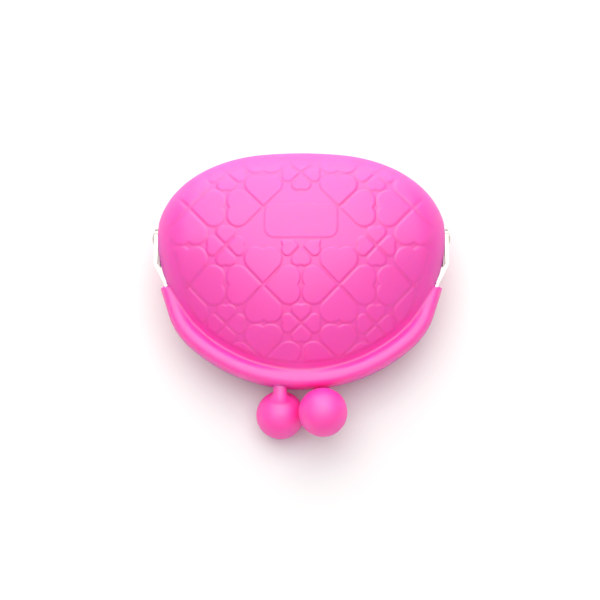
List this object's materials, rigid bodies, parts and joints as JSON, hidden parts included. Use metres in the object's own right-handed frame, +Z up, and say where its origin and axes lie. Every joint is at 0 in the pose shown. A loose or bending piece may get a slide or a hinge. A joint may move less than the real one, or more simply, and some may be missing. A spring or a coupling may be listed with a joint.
{
  "type": "hinged coin purse",
  "caption": "Rounded silicone coin purse on a hinged steel frame, shut by balls that cross and snap past each other at the mouth.",
  "frame": {"origin": "on the flattened spot of the back wall that rests on the table, straight below the middle of the hinge axis", "axes": "+X across the purse along the hinge axis, -Y towards the mouth and its balls, +Z up off the table, out of the front wall"},
  "size_m": [0.0972, 0.0938, 0.0386],
  "materials": {
    "silicone": "matte",
    "nickel_steel": "nickel plated"
  },
  "bodies": {
    "back": {"pouch_back": "silicone", "pouch_fold": "silicone", "back_frame": "nickel_steel", "hinge_rivet_left": "nickel_steel", "hinge_rivet_right": "nickel_steel", "back_clasp_post": "nickel_steel", "back_ball_core": "nickel_steel", "back_ball_cover": "silicone"},
    "front": {"pouch_front": "silicone", "front_frame": "nickel_steel", "front_clasp_post": "nickel_steel", "front_ball_core": "nickel_steel", "front_ball_cover": "silicone"}
  },
  "joints": [
    {"name": "mouth_hinge", "type": "hinge", "parent": "back", "child": "front", "pos_m": [0, 0, 0.01892], "axis": [-1, 0, 0], "range_deg": [0, 50], "deforming": ["pouch_fold", "front_ball_cover"]}
  ]
}
